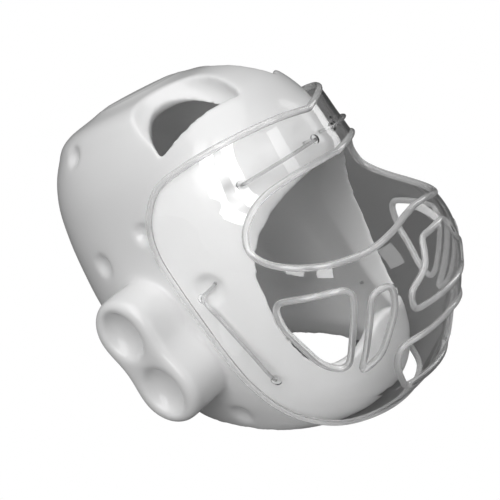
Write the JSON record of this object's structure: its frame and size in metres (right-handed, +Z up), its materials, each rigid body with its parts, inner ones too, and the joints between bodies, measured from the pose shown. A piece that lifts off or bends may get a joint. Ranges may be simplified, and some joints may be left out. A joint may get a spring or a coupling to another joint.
{
  "type": "martial arts head guard",
  "caption": "Closed dipped-foam head guard with round ear bosses, crown openings and a clear bulging face shield laced on by cords.",
  "frame": {"origin": "on the surface it stands on, below the middle of the bounding box", "axes": "+Z up from the neck rim, -Y the way the face looks, +X to the wearer's left"},
  "size_m": [0.26, 0.3276, 0.2676],
  "materials": {
    "dipped_foam": "glossy white dipped skin over foam",
    "clear_sheet": "clear polycarbonate with rounded beads",
    "clear_cord": "clear plastic cord"
  },
  "bodies": {
    "root": {"foam_shell": "dipped_foam", "face_shield": "clear_sheet", "forehead_cord_right": "clear_cord", "forehead_cord_left": "clear_cord", "cheek_cord_right": "clear_cord", "cheek_cord_left": "clear_cord"}
  },
  "joints": []
}
